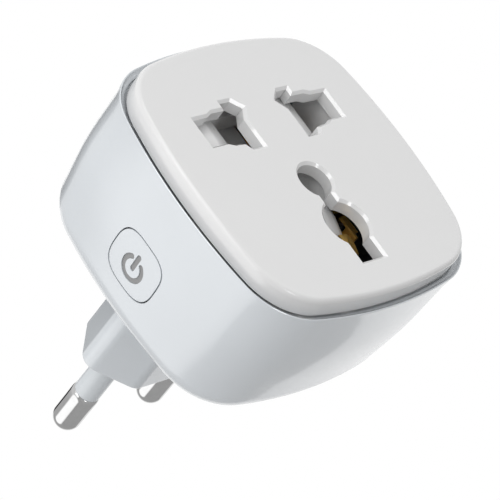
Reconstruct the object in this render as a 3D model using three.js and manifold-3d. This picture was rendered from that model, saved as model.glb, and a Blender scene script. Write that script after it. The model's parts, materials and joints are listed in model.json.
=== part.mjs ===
// Plug-in socket meter: a universal safety socket on a two-pin plug, with a side power button.
// Millimetres. The object hangs on its pins in a wall outlet: +Z up, the socket face looks
// along -Y, and the pins point along +Y. The origin is the centre of the plug end face.
import * as THREE from 'three';
import { mergeVertices } from 'three/addons/utils/BufferGeometryUtils.js';
import Module from 'manifold-3d';

const wasm = await Module();
wasm.setup();

// ---- driving dimensions -------------------------------------------------------------------
const FRONT_Y = -44.4;            // socket face
const GAP = 0.3;                  // clearance between neighbouring pieces

const PANEL = { faceHalf: 23.15, edgeHalf: 23.85, edgeRadius: 0.35, rimDepth: 3.1, plate: 2.3 };
const SIDE_RADIUS = 82;           // the long sides bulge outwards on this radius
const PANEL_CORNER = 9.6;
const BODY_CORNER = 11.6;
const BODY = { rimStart: 2.7, frontHalf: 24.95, midHalf: 25.0, backHalf: 23.95, back: 28.7,
  backFillet: 4.8, recessHalf: 24.25, ledge: 3.4, wall: 2.0, cavityEnd: 26.4 };

const PIN = { spacing: 19, radius: 2.4, length: 19, core: 1.6, tail: 0.9, tailDepth: 20 };
const SLEEVE = { radius: 2.2, bore: 1.9, length: 10, root: 1.5 };
const BOSS = { halfWidth: 17.65, halfHeight: 6.85, flat: 10.8, corner: 2.2, wall: 1.8, end: 2.4 };
const FLANGE = { halfWidth: 18.6, halfHeight: 9.6, start: 24.2, end: 26.1 };
const TOWER_RADIUS = 3.6;

const BUTTON = { z: -0.25, depth: 16.95, halfZ: 5.0, halfDepth: 4.6, power: 3.1 };
const ICON = { ring: 1.78, stroke: 0.74, gap: 0.66, barTop: 2.6, barBottom: -0.1, drop: 0.6 };

const BOARD = { half: 21.0, corner: 8.5, front: 19.8, back: 21.4 };
const POST = { at: 17.3, radius: 2.0, bore: 0.9 };
const CARRIER = { front: 8.6, back: 19.2, halfWidth: 16.1, top: 15.2, shoulder: 2.0, stem: 6.2,
  bottom: -19.6, wall: 1.0 };
const SHUTTER = { face: 2.7, back: 8.2, bottom: 3.9, top: 14.1, bridgeTop: 17 };
const SPRING = { z: 15.6, depth: 6.6, left: -18.9, right: -10.4, radius: 1.1, wire: 0.2, turns: 6 };

// ---- helpers ------------------------------------------------------------------------------
function solidOf(geometry) {
  const bare = geometry.clone();
  bare.deleteAttribute('normal');
  bare.deleteAttribute('uv');
  const merged = mergeVertices(bare, 1e-4);
  return new wasm.Manifold(new wasm.Mesh({
    numProp: 3,
    vertProperties: new Float32Array(merged.attributes.position.array),
    triVerts: new Uint32Array(merged.index.array),
  }));
}

function geometryOf(solid) {
  const mesh = solid.getMesh();
  const geometry = new THREE.BufferGeometry();
  geometry.setAttribute('position', new THREE.BufferAttribute(mesh.vertProperties, 3));
  geometry.setIndex(new THREE.BufferAttribute(mesh.triVerts, 1));
  geometry.computeVertexNormals();
  return geometry;
}

// A prism of a shape drawn in x and z, between two depths behind the socket face.
function slab(shape, from, to, curveSegments = 6) {
  const geometry = new THREE.ExtrudeGeometry(shape, {
    depth: to - from, bevelEnabled: false, curveSegments });
  geometry.rotateX(Math.PI / 2);
  geometry.translate(0, FRONT_Y + to, 0);
  return solidOf(geometry);
}

// A prism of a shape drawn in z and depth, between two x positions.
function sideSlab(shape, from, to, curveSegments = 6) {
  const geometry = new THREE.ExtrudeGeometry(shape, {
    depth: to - from, bevelEnabled: false, curveSegments });
  const basis = new THREE.Matrix4().makeBasis(
    new THREE.Vector3(0, 0, 1), new THREE.Vector3(0, 1, 0), new THREE.Vector3(-1, 0, 0));
  geometry.applyMatrix4(basis);
  geometry.translate(to, FRONT_Y, 0);
  return solidOf(geometry);
}

function block(x0, x1, z0, z1, from, to) {
  const geometry = new THREE.BoxGeometry(x1 - x0, to - from, z1 - z0);
  geometry.translate((x0 + x1) / 2, FRONT_Y + (from + to) / 2, (z0 + z1) / 2);
  return solidOf(geometry);
}

// A turned piece about an axis along Y. The profile holds [radius, depth] pairs.
function turned(x, z, profile, segments = 20) {
  const points = profile.map(([radius, depth]) => new THREE.Vector2(radius, FRONT_Y + depth));
  const geometry = new THREE.LatheGeometry(points, segments);
  geometry.translate(x, 0, z);
  const solid = solidOf(geometry);
  return solid.volume() < 0 ? solidOf(flipped(geometry)) : solid;
}

function flipped(geometry) {
  const copy = geometry.clone();
  const index = copy.index.array;
  for (let i = 0; i < index.length; i += 3) {
    [index[i], index[i + 1]] = [index[i + 1], index[i]];
  }
  return copy;
}

// A cylinder along Y between two depths.
function rod(x, z, radius, from, to, segments = 20) {
  return turned(x, z, [[0, from], [radius, from], [radius, to], [0, to]], segments);
}

// A cylinder along X.
function sideRod(z, depth, radius, x0, x1, segments = 20) {
  const geometry = new THREE.CylinderGeometry(radius, radius, x1 - x0, segments);
  geometry.rotateZ(Math.PI / 2);
  geometry.translate((x0 + x1) / 2, FRONT_Y + depth, z);
  return solidOf(geometry);
}

function polygon(points) {
  return new THREE.Shape(points.map(([a, b]) => new THREE.Vector2(a, b)));
}

// A square with bulging sides and round corners, as [x, z] points.
function roundedSquare(half, sideRadius, cornerRadius, sideSteps = 5, cornerSteps = 6) {
  const back = sideRadius - half;
  const reach = 2 * (sideRadius - cornerRadius) ** 2 - back ** 2;
  const corner = (Math.sqrt(reach) - back) / 2;
  const turn = Math.atan2(corner, corner + back);
  const quarter = [];
  for (let i = 0; i < sideSteps; i += 1) {
    const angle = -turn + (2 * turn * i) / sideSteps;
    quarter.push([sideRadius * Math.cos(angle) - back, sideRadius * Math.sin(angle)]);
  }
  for (let i = 0; i < cornerSteps; i += 1) {
    const angle = turn + ((Math.PI / 2 - 2 * turn) * i) / cornerSteps;
    quarter.push([corner + cornerRadius * Math.cos(angle), corner + cornerRadius * Math.sin(angle)]);
  }
  const ring = [];
  for (let side = 0; side < 4; side += 1) {
    for (const [a, b] of quarter) {
      const turned90 = [[a, b], [-b, a], [-a, -b], [b, -a]][side];
      ring.push(turned90);
    }
  }
  return ring;
}

function superellipse(halfA, halfB, power, steps = 40) {
  const points = [];
  for (let i = 0; i < steps; i += 1) {
    const angle = (2 * Math.PI * i) / steps;
    const c = Math.cos(angle);
    const s = Math.sin(angle);
    points.push([halfA * Math.sign(c) * Math.abs(c) ** (2 / power),
      halfB * Math.sign(s) * Math.abs(s) ** (2 / power)]);
  }
  return points;
}

// A solid skinned through rounded squares. Each section is [depth, half size, corner radius].
function loft(sections) {
  const rings = sections.map(([depth, half, corner]) => roundedSquare(half, SIDE_RADIUS, corner)
    .map(([x, z]) => [x, FRONT_Y + depth, z]));
  const count = rings[0].length;
  const points = rings.flat();
  const first = points.push([0, rings[0][0][1], 0]) - 1;
  const last = points.push([0, rings.at(-1)[0][1], 0]) - 1;
  const faces = [];
  for (let i = 0; i < count; i += 1) {
    const next = (i + 1) % count;
    faces.push(first, i, next);
    for (let r = 0; r + 1 < rings.length; r += 1) {
      const a = r * count;
      const b = a + count;
      faces.push(a + i, b + i, b + next, a + i, b + next, a + next);
    }
    const end = (rings.length - 1) * count;
    faces.push(last, end + next, end + i);
  }
  const geometry = new THREE.BufferGeometry();
  geometry.setAttribute('position', new THREE.Float32BufferAttribute(points.flat(), 3));
  geometry.setIndex(faces);
  return solidOf(geometry);
}

const group = new THREE.Group();

function add(name, solid, colour, roughness = 0.5, metalness = 0) {
  const material = new THREE.MeshStandardMaterial({ color: colour, roughness, metalness });
  const mesh = new THREE.Mesh(geometryOf(solid), material);
  mesh.name = name;
  group.add(mesh);
}

const WHITE = 0xdcdddd;
const SHELL = 0xdfe4e7;
const GREY = 0xa8aaab;
const BRASS = 0xc9983f;
const NICKEL = 0xc8c8c8;
const GREEN = 0x1f6b3a;
const BLACK = 0x222222;
const STEEL = 0x9a9fa3;

// ---- socket apertures ---------------------------------------------------------------------
// One line aperture joins the outlines of a flat-bar slot, a round-pin hole, an upright
// blade slot and a slanted blade slot. side is 1 or -1.
function lineAperture(side) {
  const outline = [[14.85, 11.6], [11.55, 11.65], [10.35, 12.15], [7.68, 12.15], [7.72, 13.45],
    [5.17, 13.45], [3.37, 11.65], [4.78, 9.6], [4.81, 4.3], [7.55, 4.3], [8.3, 5.45],
    [9.3, 5.6], [10.3, 5.65], [11.5, 6.2], [14.8, 6.15]];
  return polygon(outline.map(([x, z]) => [side * x, z]));
}

// Round ground hole, neck, larger round hole and the flat earth slot, top to bottom.
function earthCutter(from, to) {
  const small = rod(0, -3.1, 3.15, from, to, 28);
  const large = rod(0, -11.3, 4.2, from, to, 32);
  const neck = block(-1.55, 1.55, -9, -4, from, to);
  const slot = block(-2.65, 2.65, -18.35, -11, from, to);
  return small.add(large).add(neck).add(slot);
}

function buildPanel() {
  const { faceHalf, edgeHalf, edgeRadius, rimDepth, plate } = PANEL;
  const shell = loft([
    [0, faceHalf, PANEL_CORNER],
    [edgeRadius * 0.3, faceHalf + edgeRadius * 0.7, PANEL_CORNER + 0.2],
    [edgeRadius, faceHalf + edgeRadius, PANEL_CORNER + 0.3],
    [rimDepth, edgeHalf, PANEL_CORNER + 0.6],
  ]);
  const under = loft([[plate, 22, 9.2], [rimDepth + 1, 22, 9.2]]);
  let panel = shell.subtract(under);
  for (const x of [-9, 9]) {
    for (const side of [-1, 1]) {
      const z = side * 20.9;
      panel = panel.add(block(x - 2.5, x + 2.5, z - 0.55, z + 0.55, plate - 0.5, 7));
    }
  }
  for (const side of [-1, 1]) {
    panel = panel.subtract(slab(lineAperture(side), -1, 4));
  }
  return panel.subtract(earthCutter(-1, 4));
}

// ---- body shell ---------------------------------------------------------------------------
function bodyOuter() {
  const { rimStart, frontHalf, midHalf, backHalf, back, backFillet } = BODY;
  const sections = [
    [rimStart, frontHalf - 0.3, BODY_CORNER - 0.3],
    [rimStart + 0.3, frontHalf, BODY_CORNER],
    [9, midHalf, BODY_CORNER],
    [16, midHalf - 0.2, BODY_CORNER],
    [back - backFillet, backHalf, BODY_CORNER],
  ];
  for (const angle of [25, 50, 70, 90]) {
    const turn = THREE.MathUtils.degToRad(angle);
    const inset = backFillet * (1 - Math.cos(turn));
    sections.push([back - backFillet * (1 - Math.sin(turn)), backHalf - inset, BODY_CORNER - inset]);
  }
  return loft(sections);
}

function hexagon(grow) {
  const w = BOSS.halfWidth + grow;
  const h = BOSS.halfHeight + grow;
  const f = BOSS.flat + grow * 0.4;
  const c = BOSS.corner;
  return polygon([[-f, -h], [f, -h], [w - c, -c], [w - 0.45, -1], [w, 0], [w - 0.45, 1], [w - c, c],
    [f, h], [-f, h], [-w + c, c], [-w + 0.45, 1], [-w, 0], [-w + 0.45, -1], [-w + c, -c]]);
}

function buttonOutline(grow) {
  const ring = superellipse(BUTTON.halfZ + grow, BUTTON.halfDepth + grow, BUTTON.power);
  return polygon(ring.map(([z, d]) => [z + BUTTON.z, d + BUTTON.depth]));
}

function postPlaces() {
  const places = [];
  for (const x of [-POST.at, POST.at]) {
    for (const z of [-POST.at, POST.at]) {
      places.push([x, z]);
    }
  }
  return places;
}

function buildBody(outer) {
  const { recessHalf, ledge, wall, cavityEnd, frontHalf, backHalf } = BODY;
  const inner = BODY_CORNER - wall;
  const recess = loft([[0, recessHalf, BODY_CORNER - 0.7], [ledge, recessHalf, BODY_CORNER - 0.7]]);
  const cavity = loft([
    [ledge - 1, frontHalf - wall, inner],
    [16, frontHalf - wall - 0.1, inner],
    [23.5, backHalf - wall, inner],
    [25.4, backHalf - wall - 0.7, inner],
    [cavityEnd, backHalf - wall - 2.2, inner],
  ]);
  let body = outer.subtract(recess).subtract(cavity);
  for (const [x, z] of postPlaces()) {
    body = body.add(rod(x, z, POST.radius, BOARD.back + GAP, cavityEnd + 0.5, 16));
    body = body.subtract(rod(x, z, POST.bore, BOARD.back - 1, cavityEnd - 0.4, 12));
  }
  body = body.subtract(slab(hexagon(GAP), 20, 32));
  for (const [x, z] of flangeScrewPlaces()) {
    body = body.subtract(rod(x, z, 0.8, 26, 27.9, 12));
  }
  return body.subtract(sideSlab(buttonOutline(0.2), -30, -20));
}

// ---- plug base, pins and sleeves ----------------------------------------------------------
function buildPlugBase() {
  const endDepth = -FRONT_Y;
  const { wall, end } = BOSS;
  const { halfWidth, halfHeight, start } = FLANGE;
  let base = slab(hexagon(0), start, endDepth);
  base = base.add(slab(polygon(superellipse(halfWidth, halfHeight, 5)), start, FLANGE.end));
  let hollow = slab(hexagon(-wall), start - 1, endDepth - end);
  for (const side of [-1, 1]) {
    hollow = hollow.subtract(rod(side * PIN.spacing / 2, 0, TOWER_RADIUS, 0, 60));
  }
  base = base.subtract(hollow);
  for (const side of [-1, 1]) {
    const x = side * PIN.spacing / 2;
    base = base.subtract(rod(x, 0, PIN.core + GAP, 0, 60));
    base = base.subtract(rod(x, 0, SLEEVE.radius + GAP, endDepth - SLEEVE.root - GAP, 60));
  }
  for (const [x, z] of flangeScrewPlaces()) {
    base = base.subtract(rod(x, z, 0.8, 20, 30, 12));
  }
  return base;
}

function buildPin(side) {
  const end = -FRONT_Y;
  const tip = end + PIN.length;
  const shoulder = end + SLEEVE.length + 0.1;
  const profile = [[0, PIN.tailDepth], [PIN.tail, PIN.tailDepth], [PIN.tail, 25], [PIN.core, 25],
    [PIN.core, shoulder], [PIN.radius, shoulder], [PIN.radius, tip - PIN.radius]];
  for (const angle of [30, 60, 90]) {
    const turn = THREE.MathUtils.degToRad(angle);
    const radius = angle === 90 ? 0 : PIN.radius * Math.cos(turn);
    profile.push([radius, tip - PIN.radius * (1 - Math.sin(turn))]);
  }
  return turned(side * PIN.spacing / 2, 0, profile, 24);
}

function buildSleeve(side) {
  const start = -FRONT_Y - SLEEVE.root;
  const end = -FRONT_Y + SLEEVE.length - 0.2;
  const { radius, bore } = SLEEVE;
  return turned(side * PIN.spacing / 2, 0,
    [[bore, start], [radius, start], [radius, end], [bore, end], [bore, start]], 24);
}

// ---- power button -------------------------------------------------------------------------
// The standby mark: an open ring and a bar, drawn in z and depth, its top towards the face.
function standbyCutter() {
  const { ring, stroke, gap, barTop, barBottom, drop } = ICON;
  const centreZ = BUTTON.z;
  const centreD = BUTTON.depth + drop;
  const half = stroke / 2;
  const arc = [];
  const steps = 20;
  for (let i = 0; i <= steps; i += 1) {
    const angle = gap + ((2 * Math.PI - 2 * gap) * i) / steps;
    arc.push([Math.sin(angle), -Math.cos(angle)]);
  }
  const outer = arc.map(([a, b]) => [centreZ + (ring + half) * a, centreD + (ring + half) * b]);
  const inner = arc.map(([a, b]) => [centreZ + (ring - half) * a, centreD + (ring - half) * b]);
  const openRing = sideSlab(polygon([...outer, ...inner.reverse()]), -30, -24);
  const bar = sideSlab(polygon([[centreZ - half, centreD - barTop], [centreZ + half, centreD - barTop],
    [centreZ + half, centreD - barBottom], [centreZ - half, centreD - barBottom]]), -30, -24);
  return openRing.add(bar);
}

function buildButton(outer) {
  const cap = sideSlab(buttonOutline(0), -30, -21).intersect(outer);
  const flange = sideSlab(buttonOutline(1.2), -21.5, -20.9);
  const pocket = sideSlab(buttonOutline(-0.9), -24.1, -20);
  return cap.add(flange).subtract(pocket).subtract(standbyCutter());
}

function buildLightGuide() {
  const plate = sideSlab(buttonOutline(-1.3), -23.8, -23.0);
  return plate.add(sideRod(BUTTON.z, BUTTON.depth, 1.3, -23.3, -21.8));
}

// ---- safety shutter and its spring --------------------------------------------------------
// Both ramps fall towards +X, so entering pins push the whole shutter towards -X.
function buildShutter() {
  const { face, back, bottom, top, bridgeTop } = SHUTTER;
  const ramp = (left, right) => {
    const crest = left + (right - left) * 0.48;
    const profile = polygon([[left, face + 1.1], [crest, face + 0.35], [right, back - 0.9],
      [right, back], [left, back]]);
    const geometry = new THREE.ExtrudeGeometry(profile, { depth: top - bottom, bevelEnabled: false });
    geometry.translate(0, FRONT_Y, bottom);
    return solidOf(geometry);
  };
  const leftRamp = ramp(-14.95, -8.3);
  const rightRamp = ramp(3.1, 11);
  const bridge = block(SPRING.right + 0.5, 11, top - 0.5, bridgeTop, 5, back);
  return leftRamp.add(rightRamp).add(bridge);
}

class SpringCurve extends THREE.Curve {
  getPoint(t, target = new THREE.Vector3()) {
    const angle = 2 * Math.PI * SPRING.turns * t;
    return target.set(SPRING.left + (SPRING.right - SPRING.left) * t,
      FRONT_Y + SPRING.depth + SPRING.radius * Math.cos(angle),
      SPRING.z + SPRING.radius * Math.sin(angle));
  }
}

function buildSpring() {
  const section = new THREE.Shape();
  section.absarc(0, 0, SPRING.wire, 0, 2 * Math.PI);
  const geometry = new THREE.ExtrudeGeometry(section, {
    steps: SPRING.turns * 10, curveSegments: 3, bevelEnabled: false, extrudePath: new SpringCurve() });
  return solidOf(geometry);
}

// ---- contact carrier and contacts ---------------------------------------------------------
function buildCarrier() {
  const { front, back, halfWidth, top, shoulder, stem, bottom, wall } = CARRIER;
  const floor = back - 1.0;
  let carrier = block(-halfWidth, halfWidth, shoulder, top, front, back);
  carrier = carrier.add(block(-stem, stem, bottom, shoulder + 0.5, front, back));
  for (const side of [-1, 1]) {
    const near = side * 2.4;
    const far = side * (halfWidth - wall);
    carrier = carrier.subtract(block(Math.min(near, far), Math.max(near, far),
      shoulder + wall, top - wall, front - 1, floor));
  }
  carrier = carrier.subtract(block(-stem + wall, stem - wall, bottom + wall, -7.2, front - 1, floor));
  carrier = carrier.subtract(block(-stem + wall, stem - wall, -6.2, 0.8, front - 1, floor));
  const perch = block(-20.2, SPRING.left - 0.5, 14.2, 16.8, 5, front + 1.5);
  return carrier.add(perch).add(block(-20.2, -15, 14.2, top, front, front + 1.5));
}

// A folded spring contact: two leaves that pinch together, joined by a floor.
function contactShape(mouth, pinch, root, from, to) {
  const t = 0.5;
  const waist = from + (to - from) * 0.3;
  return [[-mouth - t, from], [-mouth, from], [-pinch, waist], [-root, to - t], [root, to - t],
    [pinch, waist], [mouth, from], [mouth + t, from], [pinch + t, waist], [root + t, to - t],
    [root + t, to], [-root - t, to], [-root - t, to - t], [-pinch - t, waist]];
}

function buildLineContact(side) {
  const middle = 8.9;
  const profile = polygon(contactShape(2.9, 1.9, 2.4, 9.4, 17.6).map(([z, d]) => [z + middle, d]));
  const near = side * 3.4;
  const far = side * 14.6;
  const leaves = sideSlab(profile, Math.min(near, far), Math.max(near, far));
  return leaves.subtract(block(side * 6.35 - 1, side * 6.35 + 1, 4, 14, 9, 16.5));
}

function buildEarthContact() {
  const profile = polygon(contactShape(2.9, 1.9, 2.4, 9.4, 17.6));
  const geometry = new THREE.ExtrudeGeometry(profile, { depth: 9, bevelEnabled: false });
  geometry.translate(0, FRONT_Y, -17.6);
  return solidOf(geometry);
}

// ---- circuit boards and what they carry ---------------------------------------------------
function screw(x, z, headRadius, headFrom, headTo, shankRadius, shankTo) {
  return turned(x, z, [[0, headFrom], [headRadius, headFrom], [headRadius, headTo],
    [shankRadius, headTo], [shankRadius, shankTo], [0, shankTo]], 12);
}

function buildMainBoard() {
  let board = slab(polygon(roundedSquare(BOARD.half, SIDE_RADIUS, BOARD.corner)),
    BOARD.front, BOARD.back);
  board = board.subtract(block(-24, -19.8, -7, 7, 10, 30));
  for (const side of [-1, 1]) {
    board = board.subtract(rod(side * PIN.spacing / 2, 0, PIN.tail + GAP, 10, 30, 16));
  }
  for (const [x, z] of postPlaces()) {
    board = board.subtract(rod(x, z, 1.1, 10, 30, 12));
  }
  return board;
}

function buildSwitchBody() {
  const z = BUTTON.z;
  const d = BUTTON.depth - 0.4;
  const body = block(-20.9, -18.0, z - 2.6, z + 2.6, d - 2.4, d + 2.6);
  return body.subtract(sideRod(z, BUTTON.depth, 1.4, -22, -19.2));
}

function buildCapacitor() {
  return turned(11, -10.2, [[0, 8.8], [3.2, 8.8], [4, 9.4], [4, 17.6], [3.7, 18], [4, 18.4],
    [4, 19.5], [0, 19.5]], 20);
}

function buildShunt() {
  const arch = block(-5, 5, -9.2, -6.2, BOARD.back + GAP, 23.6);
  return arch.subtract(block(-3.6, 3.6, -10, -5, BOARD.back, 22.9));
}

function buildFuse() {
  const geometry = new THREE.CylinderGeometry(1.4, 1.4, 8, 16);
  geometry.rotateZ(Math.PI / 2);
  geometry.translate(0, FRONT_Y + BOARD.back + GAP + 1.4, 11.5);
  return solidOf(geometry);
}

function addBoardScrews() {
  postPlaces().forEach(([x, z], i) => {
    const solid = screw(x, z, 1.7, 18.5, BOARD.front - GAP, 0.6, 25.4);
    add(`board_screw_${i + 1}`, solid, STEEL, 0.3, 1);
  });
}

function flangeScrewPlaces() {
  return [[-15, -8], [-15, 8], [15, -8], [15, 8]];
}

function addBaseScrews() {
  flangeScrewPlaces().forEach(([x, z], i) => {
    const solid = screw(x, z, 1.6, 22.8, FLANGE.start - GAP, 0.5, 27.6);
    add(`base_screw_${i + 1}`, solid, STEEL, 0.3, 1);
  });
}

function buildWifiModule() {
  return block(-15.9, -7.2, -2.2, -1.2, 9.5, 19.5);
}

function buildWifiShield() {
  return block(-14.9, -8.2, -0.9, 1.2, 10.5, 17.5);
}

// ---- assembly -----------------------------------------------------------------------------
const outerBody = bodyOuter();
add('front_panel', buildPanel(), WHITE, 0.25);
add('body_shell', buildBody(outerBody), SHELL, 0.35);
add('plug_base', buildPlugBase(), SHELL, 0.35);
add('live_pin', buildPin(-1), NICKEL, 0.15, 1);
add('neutral_pin', buildPin(1), NICKEL, 0.15, 1);
add('live_pin_sleeve', buildSleeve(-1), SHELL, 0.4);
add('neutral_pin_sleeve', buildSleeve(1), SHELL, 0.4);
add('power_button', buildButton(outerBody), SHELL, 0.35);
add('button_light_guide', buildLightGuide(), GREY, 0.5);
add('tact_switch_actuator', sideRod(BUTTON.z, BUTTON.depth, 1.0, -21.5, -20.0), BLACK);
add('tact_switch_body', buildSwitchBody(), STEEL, 0.4, 0.6);
add('switch_board', block(-17.7, -16.7, -5.9, 5.4, 12, 19.5), GREEN);
add('status_led', block(-18.9, -18.0, 3.4, 5.0, 15.9, 16.9), WHITE, 0.2);
add('safety_shutter', buildShutter(), GREY, 0.5);
add('shutter_spring', buildSpring(), STEEL, 0.3, 1);
add('contact_carrier', buildCarrier(), GREY, 0.6);
add('live_contact', buildLineContact(-1), BRASS, 0.3, 1);
add('neutral_contact', buildLineContact(1), BRASS, 0.3, 1);
add('earth_contact', buildEarthContact(), BRASS, 0.3, 1);
add('main_board', buildMainBoard(), GREEN);
add('relay', block(-20.3, -6.9, -15, -6.3, 8.6, 19.5), 0x1b5fa8, 0.4);
add('filter_capacitor', buildCapacitor(), BLACK, 0.4);
add('transformer', block(7.2, 20.2, -4.8, 1.2, 9, 19.5), 0x4a4236, 0.6);
add('varistor', block(16.4, 19.8, -13.6, -6, 10.5, 19.5), 0x2a5fb0, 0.5);
add('wifi_board', buildWifiModule(), GREEN);
add('wifi_shield', buildWifiShield(), STEEL, 0.3, 1);
add('metering_chip', block(-2.6, 2.6, -1.9, 1.9, BOARD.back + GAP, 23.3), BLACK);
add('current_shunt', buildShunt(), BRASS, 0.4, 1);
add('fuse', buildFuse(), 0xb7a06a, 0.4);
addBoardScrews();
addBaseScrews();

export default group;
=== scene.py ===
import json
import math

import bmesh
import bpy
from mathutils import Matrix, Vector


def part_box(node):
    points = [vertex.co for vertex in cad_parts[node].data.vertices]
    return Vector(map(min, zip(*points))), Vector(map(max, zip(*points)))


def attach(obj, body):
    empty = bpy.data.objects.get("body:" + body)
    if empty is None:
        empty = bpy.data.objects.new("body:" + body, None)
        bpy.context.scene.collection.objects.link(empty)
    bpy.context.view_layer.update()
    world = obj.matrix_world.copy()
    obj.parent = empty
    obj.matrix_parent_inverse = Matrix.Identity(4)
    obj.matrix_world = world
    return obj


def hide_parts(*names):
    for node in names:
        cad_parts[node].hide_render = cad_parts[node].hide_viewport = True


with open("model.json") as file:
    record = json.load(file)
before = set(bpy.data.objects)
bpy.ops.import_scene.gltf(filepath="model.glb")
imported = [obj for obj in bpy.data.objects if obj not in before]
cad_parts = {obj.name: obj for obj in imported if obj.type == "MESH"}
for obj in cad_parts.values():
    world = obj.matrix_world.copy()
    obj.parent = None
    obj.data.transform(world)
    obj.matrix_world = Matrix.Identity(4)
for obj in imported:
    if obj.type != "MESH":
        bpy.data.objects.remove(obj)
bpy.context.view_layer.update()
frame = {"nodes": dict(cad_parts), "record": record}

MM = 0.001
FRONT_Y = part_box("front_panel")[0].y / MM      # the socket face, in mm
PLUG_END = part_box("plug_base")[1].y / MM       # the plug's end face, in mm
TIP_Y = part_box("live_pin")[1].y / MM           # the pins' tips, in mm
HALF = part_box("body_shell")[1].x / MM          # half the body's width, in mm

SIDE_RADIUS = 82.0             # the bulge of the panel's and body's sides
PANEL_CORNER = 9.6
BODY_CORNER = 11.6
WALL = 2.0                     # the shell's wall
PIN_X = 9.5
PIN_RADIUS = 2.4
PIN_BORE = 1.75                # the clearance bore round a pin's core
SLEEVE_RADIUS = 2.2
SLEEVE_LENGTH = 10.0
CHAMFER = 0.42                 # round the socket apertures
BUTTON_Z = -0.25
BUTTON_DEPTH = 16.95
BUTTON_HALF_Z = 5.0
BUTTON_HALF_DEPTH = 4.6
SHUTTER_BACK = 8.2
SHUTTER_TOP = 14.1
GUIDE_BACK = 8.3               # where the walls behind the panel end
OUTSIDE_X = -30.0              # clear of the button's side, where its cutters start
SIDE_STEPS = 22
CORNER_STEPS = 22
ELLIPSE_STEPS = 96
ROUND_STEPS = 64


# ---- materials ------------------------------------------------------------------------------
def node_material(name):
    material = bpy.data.materials.new(name)
    material.use_nodes = True
    tree = material.node_tree
    shader = tree.nodes["Principled BSDF"]
    return material, tree, shader


def noise(tree, scale, detail, squeeze=(1, 1, 1)):
    """Noise in the piece's own coordinates, in metres, finer along the squeezed axes."""
    coords = tree.nodes.new("ShaderNodeTexCoord")
    mapping = tree.nodes.new("ShaderNodeMapping")
    mapping.inputs["Scale"].default_value = squeeze
    texture = tree.nodes.new("ShaderNodeTexNoise")
    texture.inputs["Scale"].default_value = scale
    texture.inputs["Detail"].default_value = detail
    texture.inputs["Roughness"].default_value = 0.55
    tree.links.new(coords.outputs["Object"], mapping.inputs["Vector"])
    tree.links.new(mapping.outputs["Vector"], texture.inputs["Vector"])
    return texture.outputs["Fac"]


def ranged(tree, source, low, high):
    """Spreads the middle of a noise, where most of it lies, between two limits."""
    span = tree.nodes.new("ShaderNodeMapRange")
    span.inputs["From Min"].default_value = 0.3
    span.inputs["From Max"].default_value = 0.7
    span.inputs["To Min"].default_value = low
    span.inputs["To Max"].default_value = high
    tree.links.new(source, span.inputs["Value"])
    return span.outputs["Result"]


def two_tone(tree, source, dark, light):
    """Blends two colours by the middle of a noise."""
    ramp = tree.nodes.new("ShaderNodeValToRGB")
    ramp.color_ramp.elements[0].position = 0.35
    ramp.color_ramp.elements[0].color = (*dark, 1)
    ramp.color_ramp.elements[1].position = 0.65
    ramp.color_ramp.elements[1].color = (*light, 1)
    tree.links.new(source, ramp.inputs["Fac"])
    return ramp.outputs["Color"]


def bump(tree, shader, height, strength, distance):
    node = tree.nodes.new("ShaderNodeBump")
    node.inputs["Strength"].default_value = strength
    node.inputs["Distance"].default_value = distance
    tree.links.new(height, node.inputs["Height"])
    tree.links.new(node.outputs["Normal"], shader.inputs["Normal"])


def shade(colour, factor):
    return tuple(min(1.0, c * factor) for c in colour)


def plastic(name, colour, roughness, grain, grain_size=9000.0, mottle=0.012, coat=0.0):
    """Moulded plastic: faint flow mottle, a fine eroded grain and uneven gloss."""
    material, tree, shader = node_material(name)
    flow = noise(tree, 60.0, 3.0)
    colours = two_tone(tree, flow, shade(colour, 1 - mottle), shade(colour, 1 + mottle))
    tree.links.new(colours, shader.inputs["Base Color"])
    fine = noise(tree, grain_size, 2.0)
    gloss = noise(tree, 420.0, 5.0)
    level = ranged(tree, gloss, roughness * 0.88, roughness * 1.12)
    tree.links.new(level, shader.inputs["Roughness"])
    shader.inputs["Coat Weight"].default_value = coat
    shader.inputs["Coat Roughness"].default_value = 0.06
    bump(tree, shader, fine, grain, 0.00004)
    return material


def metal(name, colour, roughness, scratch, squeeze=(1, 1, 1)):
    """Plated metal: fine scratches and patches of duller plating."""
    material, tree, shader = node_material(name)
    shader.inputs["Metallic"].default_value = 1.0
    patches = noise(tree, 900.0, 4.0)
    tint = two_tone(tree, patches, shade(colour, 0.97), shade(colour, 1.02))
    tree.links.new(tint, shader.inputs["Base Color"])
    lines = noise(tree, 2500.0, 3.0, squeeze)
    level = ranged(tree, lines, roughness * 0.75, roughness * 1.3)
    tree.links.new(level, shader.inputs["Roughness"])
    bump(tree, shader, lines, scratch, 0.00002)
    return material


def circuit_board(name):
    """Solder mask over copper tracks, with the glass weave just showing."""
    material, tree, shader = node_material(name)
    coords = tree.nodes.new("ShaderNodeTexCoord")
    turn = tree.nodes.new("ShaderNodeMapping")
    turn.inputs["Rotation"].default_value = (math.radians(90), 0, 0)
    tree.links.new(coords.outputs["Object"], turn.inputs["Vector"])
    tracks = tree.nodes.new("ShaderNodeTexBrick")
    tracks.inputs["Scale"].default_value = 260.0
    tracks.inputs["Mortar Size"].default_value = 0.06
    tracks.inputs["Color1"].default_value = (0.012, 0.09, 0.035, 1)
    tracks.inputs["Color2"].default_value = (0.015, 0.11, 0.045, 1)
    tracks.inputs["Mortar"].default_value = (0.05, 0.24, 0.09, 1)
    tree.links.new(turn.outputs["Vector"], tracks.inputs["Vector"])
    tree.links.new(tracks.outputs["Color"], shader.inputs["Base Color"])
    weave = noise(tree, 3000.0, 2.0)
    level = ranged(tree, weave, 0.3, 0.42)
    tree.links.new(level, shader.inputs["Roughness"])
    bump(tree, shader, tracks.outputs["Fac"], 0.25, 0.00003)
    return material


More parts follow.
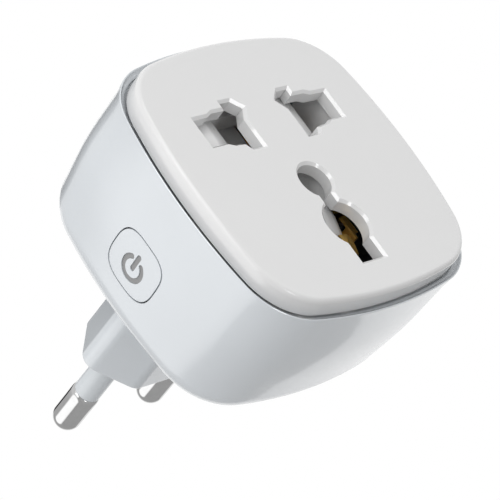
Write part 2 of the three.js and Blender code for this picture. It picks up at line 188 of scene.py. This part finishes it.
MATERIALS = {
    "panel": plastic("panel_white", (0.75, 0.75, 0.75), 0.1, grain=0.006, mottle=0.004, coat=0.5),
    "shell": plastic("shell_white", (0.685, 0.717, 0.747), 0.22, grain=0.02, coat=0.8),
    "sleeve": plastic("sleeve_white", (0.66, 0.69, 0.715), 0.24, grain=0.03),
    "icon": plastic("icon_grey", (0.30, 0.30, 0.30), 0.55, grain=0.12),
    "lens": plastic("led_lens", (0.75, 0.75, 0.7), 0.12, grain=0.01),
    "inner_plastic": plastic("inner_white", (0.8, 0.8, 0.8), 0.3, grain=0.04),
    "relay_case": plastic("relay_blue", (0.02, 0.11, 0.32), 0.3, grain=0.05),
    "transformer_tape": plastic("winding_tape", (0.38, 0.28, 0.05), 0.3, grain=0.2, mottle=0.15),
    "black_plastic": plastic("black_plastic", (0.02, 0.02, 0.02), 0.4, grain=0.1),
    "fuse_body": plastic("fuse_ceramic", (0.45, 0.35, 0.16), 0.4, grain=0.1),
    "nickel": metal("pin_nickel", (0.62, 0.62, 0.62), 0.05, scratch=0.006, squeeze=(1, 12, 1)),
    "brass": metal("contact_brass", (1.0, 0.66, 0.2), 0.42, scratch=0.1, squeeze=(1, 1, 8)),
    "tin": metal("tinned_steel", (0.62, 0.63, 0.64), 0.3, scratch=0.1),
    "steel": metal("zinc_steel", (0.55, 0.57, 0.60), 0.28, scratch=0.1),
    "copper_alloy": metal("shunt_alloy", (0.55, 0.28, 0.16), 0.3, scratch=0.1),
    "board": circuit_board("board_green"),
}


def paint(piece, slot):
    piece.data.materials.clear()
    piece.data.materials.append(MATERIALS[slot])


def paint_frame():
    """Gives every carried-over CAD node its slot's finish."""
    for row in frame["record"]["subparts"]:
        paint(frame["nodes"][row["node"]], row["material_slot"])


# ---- mesh building --------------------------------------------------------------------------
def make_object(name, points, faces):
    """A mesh object from points in mm."""
    mesh = bpy.data.meshes.new(name)
    mesh.from_pydata([Vector(p) * MM for p in points], [], faces)
    piece = bpy.data.objects.new(name, mesh)
    bpy.context.scene.collection.objects.link(piece)
    tidy_normals(piece)
    return piece


def tidy_normals(piece):
    """Turns every face outwards."""
    work = bmesh.new()
    work.from_mesh(piece.data)
    bmesh.ops.recalc_face_normals(work, faces=work.faces)
    work.to_mesh(piece.data)
    work.free()


def rounded_square(half, corner_radius):
    """A square with bulging sides and round corners, as (x, z) points."""
    back = SIDE_RADIUS - half
    reach = 2 * (SIDE_RADIUS - corner_radius) ** 2 - back ** 2
    corner = (math.sqrt(reach) - back) / 2
    turn = math.atan2(corner, corner + back)
    quarter = []
    for i in range(SIDE_STEPS):
        angle = -turn + 2 * turn * i / SIDE_STEPS
        quarter.append((SIDE_RADIUS * math.cos(angle) - back, SIDE_RADIUS * math.sin(angle)))
    for i in range(CORNER_STEPS):
        angle = turn + (math.pi / 2 - 2 * turn) * i / CORNER_STEPS
        quarter.append((corner + corner_radius * math.cos(angle),
                        corner + corner_radius * math.sin(angle)))
    ring = []
    for side in range(4):
        rotation = Matrix.Rotation(side * math.pi / 2, 2)
        ring += [tuple(rotation @ Vector(p)) for p in quarter]
    return ring


def superellipse(half_a, half_b, power):
    ring = []
    for i in range(ELLIPSE_STEPS):
        angle = 2 * math.pi * i / ELLIPSE_STEPS
        c, s = math.cos(angle), math.sin(angle)
        ring.append((math.copysign(abs(c) ** (2 / power), c) * half_a,
                     math.copysign(abs(s) ** (2 / power), s) * half_b))
    return ring


def circle(centre, radius, steps=ROUND_STEPS):
    angles = [2 * math.pi * i / steps for i in range(steps)]
    return [(centre[0] + radius * math.cos(a), centre[1] + radius * math.sin(a)) for a in angles]


def skin(name, rings):
    """A closed solid skinned through rings of points, capped at both ends."""
    count = len(rings[0])
    points = [p for ring in rings for p in ring]
    faces = []
    for r in range(len(rings) - 1):
        for i in range(count):
            j = (i + 1) % count
            a, b = r * count, (r + 1) * count
            faces.append((a + i, b + i, b + j, a + j))
    faces.append(tuple(range(count)))
    faces.append(tuple(range((len(rings) - 1) * count, len(rings) * count)))
    return make_object(name, points, faces)


def at_depth(outline, depth):
    """An (x, z) outline as a ring of points at a depth behind the socket face."""
    return [(x, FRONT_Y + depth, z) for x, z in outline]


def loft(name, sections):
    """Sections are (depth, half size, corner radius) of rounded squares, in mm."""
    return skin(name, [at_depth(rounded_square(half, corner), depth)
                       for depth, half, corner in sections])


def prism(name, outline, low, high):
    """A prism of an (x, z) outline between two depths."""
    return skin(name, [at_depth(outline, depth) for depth in (low, high)])


def block(name, low, high):
    """A box between two (x, depth, z) corners."""
    outline = [(low[0], low[2]), (high[0], low[2]), (high[0], high[2]), (low[0], high[2])]
    return prism(name, outline, low[1], high[1])


def side_prism(name, outline, x_low, x_high):
    """A prism of a (z, depth) outline between two x positions."""
    rings = [[(x, FRONT_Y + depth, z) for z, depth in outline] for x in (x_low, x_high)]
    return skin(name, rings)


def turned_rings(x, z, profile):
    """Rings about an axis along Y. The profile is (radius, y) pairs, in mm."""
    return [[(u, y, v) for u, v in circle((x, z), radius)] for radius, y in profile]


def turned(name, x, z, profile):
    """A turned piece, solid from its first ring to its last."""
    return skin(name, turned_rings(x, z, profile))


def offset(outline, distance):
    """Moves each side of a closed outline outwards by a distance, with mitred corners."""
    sharpest = 0.35             # limits how far the mitre of a sharp corner reaches
    area = sum(a[0] * b[1] - b[0] * a[1] for a, b in zip(outline, outline[1:] + outline[:1]))
    way = 1 if area > 0 else -1
    moved = []
    count = len(outline)
    for i in range(count):
        before = Vector(outline[i - 1])
        here = Vector(outline[i])
        after = Vector(outline[(i + 1) % count])
        into = (here - before).normalized()
        out = (after - here).normalized()
        normal_in = Vector((into.y, -into.x)) * way
        normal_out = Vector((out.y, -out.x)) * way
        middle = (normal_in + normal_out).normalized()
        moved.append(tuple(here + middle * distance / max(sharpest, middle.dot(normal_out))))
    return moved


def combine(piece, other, how="DIFFERENCE"):
    """Cuts with, joins or keeps the overlap with another solid, which is used up."""
    modifier = piece.modifiers.new("combine", "BOOLEAN")
    modifier.object = other
    modifier.operation = how
    modifier.solver = "EXACT"
    settle(piece)
    bpy.data.objects.remove(other)


def settle(piece):
    """Applies the piece's modifiers to its mesh."""
    bpy.context.view_layer.update()
    state = bpy.context.evaluated_depsgraph_get()
    mesh = bpy.data.meshes.new_from_object(piece.evaluated_get(state))
    piece.modifiers.clear()
    piece.data = mesh


def soften(piece, width, angle, segments):
    """Rounds edges sharper than an angle in degrees by a small radius in mm."""
    modifier = piece.modifiers.new("edges", "BEVEL")
    modifier.width = width * MM
    modifier.segments = segments
    modifier.limit_method = "ANGLE"
    modifier.angle_limit = math.radians(angle)
    settle(piece)


def smooth(piece, angle):
    """Smooth shading, with sharp edges past an angle in degrees and flat faces kept flat."""
    work = bmesh.new()
    work.from_mesh(piece.data)
    bmesh.ops.remove_doubles(work, verts=work.verts, dist=1e-7)
    for face in work.faces:
        face.smooth = True
    limit = math.radians(angle)
    for edge in work.edges:
        edge.smooth = len(edge.link_faces) != 2 or edge.calc_face_angle(0) < limit
    work.to_mesh(piece.data)
    work.free()
    modifier = piece.modifiers.new("normals", "WEIGHTED_NORMAL")
    modifier.keep_sharp = True
    modifier.weight = 80


def place(piece, body, slot, *nodes):
    """Paints a finished piece, rides it on its body and lets it stand for its CAD nodes."""
    paint(piece, slot)
    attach(piece, body)
    if nodes:
        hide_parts(*nodes)


# ---- socket panel ---------------------------------------------------------------------------
def line_aperture(side):
    """Flat-bar slot, round-pin hole, upright blade slot and slanted blade slot in one outline."""
    outline = [(14.85, 11.6), (11.55, 11.65), (10.35, 12.15), (7.68, 12.15), (7.72, 13.45),
               (5.17, 13.45), (3.37, 11.65), (4.78, 9.6), (4.81, 4.3), (7.55, 4.3), (8.3, 5.45),
               (9.3, 5.6), (10.3, 5.65), (11.5, 6.2), (14.8, 6.15)]
    return [(side * x, z) for x, z in outline]


def arc(centre_z, radius, start, end, steps):
    """Points on a circle about (0, centre_z). Angles are degrees from straight up."""
    points = []
    for i in range(steps + 1):
        angle = math.radians(start + (end - start) * i / steps)
        points.append((radius * math.sin(angle), centre_z + radius * math.cos(angle)))
    return points


def earth_aperture(grow):
    """Round hole, neck, larger round hole and flat slot, as one closed outline."""
    small_z, large_z, slot_end = -3.1, -11.3, -18.35 - grow
    small, large = 3.15 + grow, 4.2 + grow
    neck, slot_half = 1.55 + grow, 2.65 + grow
    small_end = 180 - math.degrees(math.asin(neck / small))
    large_start = math.degrees(math.asin(neck / large))
    large_end = 180 - math.degrees(math.asin(slot_half / large))
    right = arc(small_z, small, 0, small_end, 24)
    right += arc(large_z, large, large_start, large_end, 26)
    right.append((slot_half, slot_end))
    left = [(-x, z) for x, z in reversed(right[1:])]
    return right + left


def chamfered_cutter(mouth, hole):
    """A cutter through the panel, from a wider mouth at the face to the hole itself."""
    levels = ((-0.5, mouth), (0, mouth), (CHAMFER, hole), (8, hole))
    return skin("cutter", [at_depth(outline, depth) for depth, outline in levels])


def build_panel():
    flat, edge_out, edge_back = 23.1, 0.75, 0.85     # the flat face and its rounded edge
    corner = PANEL_CORNER - 0.35
    rim_half, rim_corner, rim_end, plate = 23.9, 10.1, 3.3, 2.3
    sections = [(0.0, flat - 0.25, corner - 0.25), (0.0, flat, corner)]
    steps = 8
    for i in range(1, steps + 1):
        angle = math.radians(90 * i / steps)
        sections.append((edge_back * (1 - math.cos(angle)), flat + edge_out * math.sin(angle),
                         corner + edge_out * math.sin(angle)))
    sections += [(plate - 0.1, rim_half - 0.02, rim_corner), (rim_end, rim_half, rim_corner)]
    panel = loft("socket_panel", sections)
    combine(panel, loft("cutter", [(plate, 22, 9.2), (4.4, 22, 9.2)]))
    for side in (-1, 1):
        hole = line_aperture(side)
        combine(panel, chamfered_cutter(offset(hole, CHAMFER / 2), offset(hole, -CHAMFER / 2)))
    combine(panel, chamfered_cutter(earth_aperture(CHAMFER / 2), earth_aperture(-CHAMFER / 2)))
    tab_half_width, tab_half_height = 2.5, 0.55
    for x in (-9, 9):
        for z in (-20.9, 20.9):
            low = (x - tab_half_width, 2.0, z - tab_half_height)
            high = (x + tab_half_width, 7, z + tab_half_height)
            combine(panel, block("tab", low, high), "UNION")
    smooth(panel, 25)
    place(panel, "housing", "panel", "front_panel")


# ---- body shell -----------------------------------------------------------------------------
def outer_sections(inset=0.0):
    """The barrel-shaped outside, from behind the rim to the back, pushed in by an inset."""
    depths = (2.95, 5, 9, 12.5, 16, 20, 23.9)
    halves = (HALF + 0.22, HALF + 0.08, HALF + 0.05, HALF, HALF - 0.15, HALF - 0.55, HALF - 1.0)
    corners = (10.7, 11.2, BODY_CORNER, BODY_CORNER, BODY_CORNER, BODY_CORNER, BODY_CORNER)
    sections = [(d, h - inset, c - inset) for d, h, c in zip(depths, halves, corners)]
    back, fillet, steps = 28.7, 4.8, 12
    half = halves[-1]
    for i in range(1, steps + 1):
        angle = math.radians(90 * i / steps)
        pull = fillet * (1 - math.cos(angle))
        sections.append((back - fillet * (1 - math.sin(angle)), half - pull - inset,
                         BODY_CORNER - pull - inset))
    return sections


def hexagon(grow):
    """The plug's six-sided outline with rounded corners."""
    w, h, flat = 17.65 + grow, 6.85 + grow, 10.9 + grow * 0.4
    corners = [((w, 0), 2.6), ((flat, h), 2.4), ((-flat, h), 2.4), ((-w, 0), 2.6),
               ((-flat, -h), 2.4), ((flat, -h), 2.4)]
    outline = []
    for i, (corner, radius) in enumerate(corners):
        before = Vector(corners[i - 1][0])
        after = Vector(corners[(i + 1) % 6][0])
        outline += fillet_corner(before, Vector(corner), after, radius)
    return outline


def fillet_corner(before, corner, after, radius, steps=8):
    """Points of a corner rounded to a radius."""
    to_before = (before - corner).normalized()
    to_after = (after - corner).normalized()
    half_angle = to_before.angle(to_after) / 2
    centre = corner + (to_before + to_after).normalized() * (radius / math.sin(half_angle))
    start = corner + to_before * (radius / math.tan(half_angle)) - centre
    sweep = math.pi - 2 * half_angle
    way = 1 if to_before.x * to_after.y - to_before.y * to_after.x < 0 else -1
    return [tuple(centre + Matrix.Rotation(way * sweep * i / steps, 2) @ start)
            for i in range(steps + 1)]


def button_outline(grow):
    ring = superellipse(BUTTON_HALF_Z + grow, BUTTON_HALF_DEPTH + grow, 3.1)
    return [(z + BUTTON_Z, depth + BUTTON_DEPTH) for z, depth in ring]


def build_body():
    """The shell, from the back of its cavity forwards over the step and rim and back outside."""
    inner = BODY_CORNER - WALL
    inside = [(26.4, HALF - 5.2, inner - 2), (25.6, HALF - 3.6, inner), (23.5, HALF - 3.0, inner),
              (16, HALF - 2.1, inner), (4.4, HALF - WALL, inner)]
    step = [(4.2, HALF - WALL, 9.6), (3.75, HALF - 0.95, 9.8), (3.55, HALF - 0.86, 9.9)]
    rim = [(3.35, HALF - 0.5, 10.2), (3.15, HALF - 0.2, 10.4), (2.86, HALF - 0.06, 10.5),
           (2.76, HALF + 0.02, 10.6), (2.72, HALF + 0.12, 10.65), (2.8, HALF + 0.2, 10.7)]
    body = loft("body_shell_shaped", inside + step + rim + outer_sections())
    combine(body, prism("cutter", hexagon(0.08), 20, 40))
    combine(body, side_prism("cutter", button_outline(0.22), OUTSIDE_X, -20))
    smooth(body, 35)
    place(body, "housing", "shell", "body_shell")


# ---- plug base, pins and sleeves ------------------------------------------------------------
def build_plug_base():
    start, end, edge, wall = 24.2, PLUG_END - FRONT_Y, 0.35, 1.8
    sections = [(start, 0.0)]
    steps = 5
    for i in range(steps + 1):
        angle = math.radians(90 * i / steps)
        sections.append((end - edge * (1 - math.sin(angle)), -edge * (1 - math.cos(angle))))
    base = skin("plug_body", [at_depth(hexagon(grow), depth) for depth, grow in sections])
    combine(base, prism("flange", superellipse(18.6, 9.6, 5), start, 26.1), "UNION")
    combine(base, prism("cutter", hexagon(-wall), 20, end - 2.4))
    tower_radius, socket_radius = 3.6, SLEEVE_RADIUS + 0.06
    for x in (-PIN_X, PIN_X):
        tower = [(tower_radius, FRONT_Y + start + 0.1), (tower_radius, PLUG_END - 2.2)]
        combine(base, turned("tower", x, 0, tower), "UNION")
        combine(base, turned("cutter", x, 0, [(PIN_BORE, -40), (PIN_BORE, 20)]))
        combine(base, turned("cutter", x, 0, [(socket_radius, -1.6), (socket_radius, 5)]))
    smooth(base, 30)
    place(base, "housing", "shell", "plug_base")


def build_pin(name, node, x):
    shoulder, core, tail = SLEEVE_LENGTH, 1.6, 0.9
    straight_end = TIP_Y - PIN_RADIUS
    profile = [(tail, -24), (tail, -19), (core, -19), (core, shoulder), (2.05, shoulder),
               (2.2, shoulder + 0.12), (2.34, shoulder + 0.4), (PIN_RADIUS, shoulder + 0.9),
               (PIN_RADIUS, shoulder + 2.5), (PIN_RADIUS, straight_end)]
    steps = 12
    for i in range(1, steps):
        angle = math.radians(90 * i / steps)
        profile.append((PIN_RADIUS * math.cos(angle), straight_end + PIN_RADIUS * math.sin(angle)))
    profile.append((0.02, TIP_Y))
    pin = turned(name, x, 0, profile)
    smooth(pin, 40)
    place(pin, "housing", "nickel", node)


def build_sleeve(name, node, x):
    outer, start, end = SLEEVE_RADIUS, -1.5, SLEEVE_LENGTH - 0.02
    profile = [(PIN_BORE, start), (outer, start), (outer, end - 0.15), (outer - 0.05, end - 0.04),
               (outer - 0.15, end), (PIN_BORE, end), (PIN_BORE, start)]
    sleeve = closed_ring(name, turned_rings(x, 0, profile))
    smooth(sleeve, 40)
    place(sleeve, "housing", "sleeve", node)


def closed_ring(name, rings):
    """A ring-shaped solid skinned through rings, where the last ring repeats the first."""
    count = len(rings[0])
    turns = len(rings) - 1
    points = [p for ring in rings[:-1] for p in ring]
    faces = []
    for r in range(turns):
        a, b = r * count, ((r + 1) % turns) * count
        for i in range(count):
            j = (i + 1) % count
            faces.append((a + i, b + i, b + j, a + j))
    return make_object(name, points, faces)


# ---- power button ---------------------------------------------------------------------------
def standby_cutters(x_high, grow=0.0):
    """The open ring and the bar of the standby mark, with round ends."""
    ring, bar_length, half, gap = 1.92, 2.45, 0.44 + grow, math.radians(36)
    centre = Vector((BUTTON_Z, BUTTON_DEPTH + 0.65))
    steps = 40
    path = []
    for i in range(steps + 1):
        angle = gap + (2 * math.pi - 2 * gap) * i / steps
        path.append(centre + ring * Vector((math.sin(angle), -math.cos(angle))))
    bar = [centre + Vector((0, -bar_length)), centre]
    return [side_prism("mark", stroke(line, half), OUTSIDE_X, x_high) for line in (path, bar)]


def stroke(path, half):
    """The outline of a round-ended line of a given half width along a path."""
    left, right = [], []
    for i, here in enumerate(path):
        before, after = path[max(i - 1, 0)], path[min(i + 1, len(path) - 1)]
        along = (after - before).normalized()
        across = Vector((-along.y, along.x)) * half
        left.append(here + across)
        right.append(here - across)
    far_end, near_end = half_turn(path[-1], left[-1]), half_turn(path[0], right[0])
    return [tuple(p) for p in left + far_end + right[::-1] + near_end]


def half_turn(centre, start):
    """The points of a round end, between its two corners."""
    arm = start - centre
    return [centre + Matrix.Rotation(-math.pi * i / 10, 2) @ arm for i in range(1, 10)]


def build_button():
    cap = loft("power_button_cap", [(1.0, HALF - 0.5, BODY_CORNER)] + outer_sections())
    combine(cap, side_prism("keep", button_outline(0), OUTSIDE_X, -21), "INTERSECT")
    soften(cap, 0.09, 50, 3)
    combine(cap, side_prism("flange", button_outline(1.2), -21.5, -20.9), "UNION")
    combine(cap, side_prism("cutter", button_outline(-0.9), -23.6, -20))
    for cutter in standby_cutters(-24.0):
        combine(cap, cutter)
    smooth(cap, 30)
    place(cap, "button", "shell", "power_button")


def build_icon():
    names = ("standby_ring", "standby_bar")
    for name, mark in zip(names, standby_cutters(-23.9, grow=-0.01)):
        piece = loft(name, [(1.0, HALF - 0.8, BODY_CORNER)] + outer_sections(0.2))
        combine(piece, mark, "INTERSECT")
        smooth(piece, 30)
        place(piece, "button", "icon")
    plate = side_prism("light_guide_plate", button_outline(-1.0), -23.55, -23.0)
    stem = circle((BUTTON_Z, BUTTON_DEPTH), 1.3, 32)
    combine(plate, side_prism("stem", stem, -23.2, -21.8), "UNION")
    smooth(plate, 30)
    place(plate, "button", "icon", "button_light_guide")


# ---- safety shutter and what shows behind the apertures -------------------------------------
def shutter_ramp(name, left, right):
    """A ramp that rises to a rounded crest and falls away towards its right edge."""
    face, back, bottom, top = 2.7, SHUTTER_BACK, 3.9, SHUTTER_TOP
    crest = left + (right - left) * 0.55
    profile = [(left, face + 1.0), (crest - 1.2, face + 0.32), (crest - 0.5, face + 0.2),
               (crest, face + 0.18), (crest + 0.5, face + 0.24), (crest + 1.1, face + 0.5),
               (right - 0.4, face + 1.6), (right, face + 2.0), (right, back), (left, back)]
    rings = [[(x, FRONT_Y + d, z) for x, d in profile] for z in (bottom, top)]
    return skin(name, rings)


def build_shutter():
    shutter = shutter_ramp("shutter_ramps", -14.95, -6.2)
    combine(shutter, shutter_ramp("ramp", 3.1, 11.7), "UNION")
    bridge = block("bridge", (-9.9, 5.0, SHUTTER_TOP - 0.5), (11, SHUTTER_BACK, 17))
    combine(shutter, bridge, "UNION")
    soften(shutter, 0.12, 50, 2)
    smooth(shutter, 40)
    place(shutter, "shutter", "inner_plastic", "safety_shutter")


def build_earth_guide():
    """The moulded wall and the sloped rib that lead an earth pin in behind the panel."""
    guide = block("earth_guide", (3.4, 2.6, -6.4), (4.4, GUIDE_BACK, 2.9))
    slope = [[(x, FRONT_Y + d, z) for x, d in ((0.6, near), (2.9, near + 0.4), (4.5, near + 1.4),
                                              (4.5, GUIDE_BACK), (0.6, GUIDE_BACK))]
             for z, near in ((-6.2, 3.4), (-7.4, 3.5), (-9.6, 4.2), (-10.7, 4.6))]
    combine(guide, skin("slope", slope), "UNION")
    finish_guide(guide)


def build_neutral_guide():
    """The moulded wall beside the neutral aperture."""
    finish_guide(block("neutral_guide", (15.3, 2.6, 2.9), (16.2, GUIDE_BACK, 14.6)))


def finish_guide(guide):
    soften(guide, 0.12, 40, 2)
    smooth(guide, 30)
    place(guide, "housing", "inner_plastic")


def build_earth_leaves():
    """The contact's folded mouth: one leaf flares towards the hole and one stands behind it."""
    front = [(0.9, -11.2), (3.3, -11.2), (3.7, -12.4), (3.1, -13.8), (2.5, -15.0), (1.7, -15.0),
             (1.6, -14.0), (0.9, -12.6)]
    leaf = skin("earth_leaf", [[(x, FRONT_Y + depth + 0.25 * (x - 1), z) for x, z in front]
                               for depth in (3.5, 3.9)])
    strip = block("strip", (5.6, 5.0, -10.9), (6.9, 5.45, -7.6))
    web = block("web", (5.6, 5.0, -11.8), (6.1, 9.4, -9.4))
    root = block("root", (1.0, 9.3, -13.3), (6.1, 9.8, -9.0))
    inner = block("inner", (1.7, 3.8, -15.3), (2.2, 9.6, -12.2))
    for part in (strip, web, root, inner):
        combine(leaf, part, "UNION")
    soften(leaf, 0.08, 40, 2)
    smooth(leaf, 30)
    place(leaf, "housing", "brass")


# ---- stage ----------------------------------------------------------------------------------
def build_camera():
    """A long lens from below and to the left, looking up past the socket face."""
    position = (-0.302547, -0.283161, -0.132884)
    right = Vector((0.66463, -0.49954, -0.55562))
    up = Vector((0.18551, -0.61002, 0.77036))
    back = right.cross(up)
    turn = Matrix((right, up, back)).transposed().to_4x4()
    camera = bpy.data.cameras.new("camera")
    camera.sensor_width = 36.0
    camera.lens = 199.35
    camera.clip_start = 0.01
    camera.clip_end = 20.0
    piece = bpy.data.objects.new("camera", camera)
    piece.matrix_world = Matrix.Translation(position) @ turn
    bpy.context.scene.collection.objects.link(piece)
    bpy.context.scene.camera = piece


def area_light(name, at, size, power):
    """A rectangular light aimed at the middle of the body, in metres and watts."""
    light = bpy.data.lights.new(name, "AREA")
    light.shape = "RECTANGLE"
    light.size, light.size_y = size
    light.energy = power
    piece = bpy.data.objects.new(name, light)
    piece.location = at
    aim = Vector((0, -0.03, 0))
    piece.rotation_euler = (aim - Vector(at)).to_track_quat("-Z", "Y").to_euler()
    bpy.context.scene.collection.objects.link(piece)


def build_floor():
    half, height = 0.64, -0.32
    mesh = bpy.data.meshes.new("floor")
    corners = [(-half, -half, height), (half, -half, height), (half, half, height),
               (-half, half, height)]
    mesh.from_pydata(corners, [], [(0, 1, 2, 3)])
    floor = bpy.data.objects.new("floor", mesh)
    bpy.context.scene.collection.objects.link(floor)
    floor.data.materials.append(plastic("floor_pale", (0.52, 0.52, 0.52), 0.8, grain=0.02,
                                        grain_size=300.0))


def toward(tree, direction, inner, outer):
    """1 within an inner angle of a direction and 0 beyond an outer angle, in degrees."""
    coords = tree.nodes.new("ShaderNodeTexCoord")
    dot = tree.nodes.new("ShaderNodeVectorMath")
    dot.operation = "DOT_PRODUCT"
    dot.inputs[1].default_value = Vector(direction).normalized()
    tree.links.new(coords.outputs["Generated"], dot.inputs[0])
    span = tree.nodes.new("ShaderNodeMapRange")
    span.interpolation_type = "SMOOTHSTEP"
    span.inputs["From Min"].default_value = math.cos(math.radians(outer))
    span.inputs["From Max"].default_value = math.cos(math.radians(inner))
    tree.links.new(dot.outputs["Value"], span.inputs["Value"])
    return span.outputs["Result"]


def build_world():
    """A mid grey dome with a pale ceiling, a white backdrop, a dark flag and a bright panel."""
    world = bpy.data.worlds.new("studio")
    world.use_nodes = True
    tree = world.node_tree
    background = tree.nodes["Background"]
    under, over, mixed = 6, 7, 2                # the Mix node's colour sockets
    patches = (((0, 0, 1), 84, 98, 0.84), ((0, 1, 0), 40, 62, 0.5),
               ((0.72, 0.61, 0.31), 36, 46, 1.0), ((0.33, 0.615, 0.714), 9, 15, 0.03),
               ((-0.75, 0.60, 0.12), 20, 32, 1.6))
    colour = None
    for direction, inner, outer, grey in patches:
        mix = tree.nodes.new("ShaderNodeMix")
        mix.data_type = "RGBA"
        tree.links.new(toward(tree, direction, inner, outer), mix.inputs["Factor"])
        mix.inputs[under].default_value = (0.5, 0.5, 0.5, 1)
        if colour:
            tree.links.new(colour, mix.inputs[under])
        mix.inputs[over].default_value = (grey, grey, grey, 1)
        colour = mix.outputs[mixed]
    tree.links.new(colour, background.inputs["Color"])
    background.inputs["Strength"].default_value = 1.0
    bpy.context.scene.world = world


def build_stage():
    build_floor()
    build_world()
    area_light("left_softbox", (-0.5, -0.22, 0.15), (0.4, 0.4), 0.42)
    area_light("front_softbox", (-0.1, -0.6, 0.3), (0.4, 0.3), 0.45)
    area_light("low_softbox", (-0.11, -0.35, -0.29), (0.09, 0.12), 0.22)
    area_light("edge_strip", (-0.3, -0.39, 0.155), (0.1, 0.2), 0.25)
    bpy.context.scene.view_settings.view_transform = "Standard"


build_camera()
build_stage()
paint_frame()
build_panel()
build_body()
build_plug_base()
for side, word in ((-1, "live"), (1, "neutral")):
    build_pin(f"{word}_pin_turned", f"{word}_pin", side * PIN_X)
    build_sleeve(f"{word}_sleeve_moulded", f"{word}_pin_sleeve", side * PIN_X)
build_button()
build_icon()
build_shutter()
build_earth_guide()
build_neutral_guide()
build_earth_leaves()
